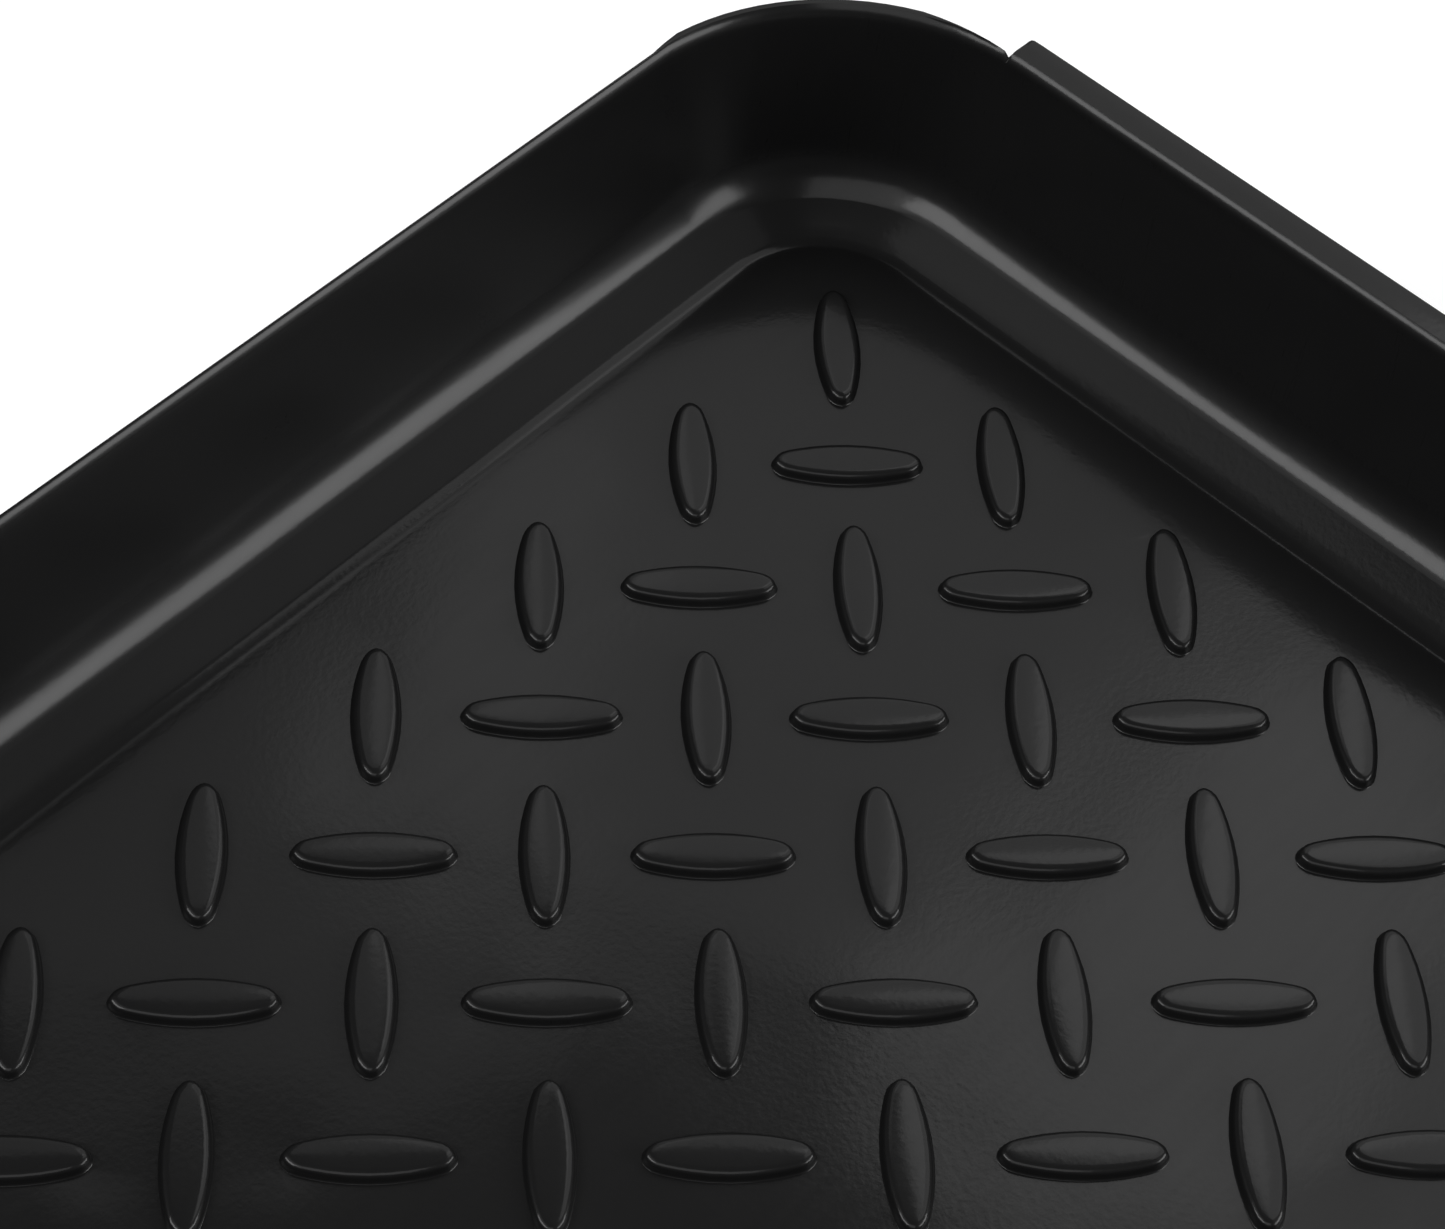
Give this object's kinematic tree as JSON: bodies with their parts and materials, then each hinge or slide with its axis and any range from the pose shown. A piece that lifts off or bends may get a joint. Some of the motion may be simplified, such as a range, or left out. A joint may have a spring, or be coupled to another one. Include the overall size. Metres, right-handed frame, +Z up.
{
  "type": "paint roller tray",
  "caption": "Black moulded paint roller tray with a raised-tread deck, a deep paint well and a folding wire leg at the shallow end.",
  "frame": {"origin": "centre of the footprint, on the table that the tray stands on", "axes": "+Z up, +Y from the paint well towards the raised shallow end, +X to the right when looking along +Y"},
  "size_m": [0.3016, 0.376, 0.103],
  "materials": {
    "tray_plastic": "satin black",
    "clip_plastic": "matte black",
    "zinc_wire": "bright zinc plate",
    "zinc_screw": "bright zinc plate",
    "black_rubber": "matte"
  },
  "bodies": {
    "tray_body": {"tray": "tray_plastic", "hinge_clip_left": "clip_plastic", "hinge_clip_right": "clip_plastic", "stow_clip": "clip_plastic", "clip_screws": "zinc_screw", "well_foot_front_left": "black_rubber", "well_foot_front_right": "black_rubber", "well_foot_rear_left": "black_rubber", "well_foot_rear_right": "black_rubber"},
    "leg": {"leg_frame": "zinc_wire", "leg_brace": "zinc_wire", "leg_sleeve_left": "black_rubber", "leg_sleeve_right": "black_rubber"}
  },
  "joints": [
    {"name": "leg_fold", "type": "hinge", "parent": "tray_body", "child": "leg", "pos_m": [0, 0.14794, 0.05722], "axis": [-1, 0, 0], "range_deg": [0, 95]}
  ]
}
